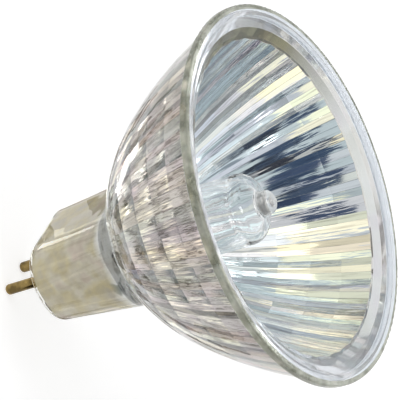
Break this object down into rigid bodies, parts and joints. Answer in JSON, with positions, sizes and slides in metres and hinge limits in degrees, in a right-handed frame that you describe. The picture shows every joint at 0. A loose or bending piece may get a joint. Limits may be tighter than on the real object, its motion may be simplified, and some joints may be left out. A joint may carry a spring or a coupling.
{
  "type": "halogen reflector bulb",
  "caption": "Small halogen bulb in a fluted glass reflector with a cemented neck and two contact pins.",
  "frame": {"origin": "middle of the neck's rear face, between the two contact pins", "axes": "+Z along the bulb's axis towards its open front, X through the two pins, which point along -Z"},
  "size_m": [0.05, 0.05, 0.0446],
  "materials": {
    "reflector_glass": "clear pressed glass with a thin mirror film inside the bowl",
    "cement": "matte beige cement",
    "quartz": "clear quartz",
    "tungsten": "dark drawn wire",
    "molybdenum": "plain grey metal",
    "pin_brass": "bare turned brass"
  },
  "bodies": {
    "root": {"reflector_glass": "reflector_glass", "neck_cement": "cement", "quartz_capsule": "quartz", "filament": "tungsten", "foil_left": "molybdenum", "foil_right": "molybdenum", "lead_left": "molybdenum", "lead_right": "molybdenum", "pin_left": "pin_brass", "pin_right": "pin_brass"}
  },
  "joints": []
}
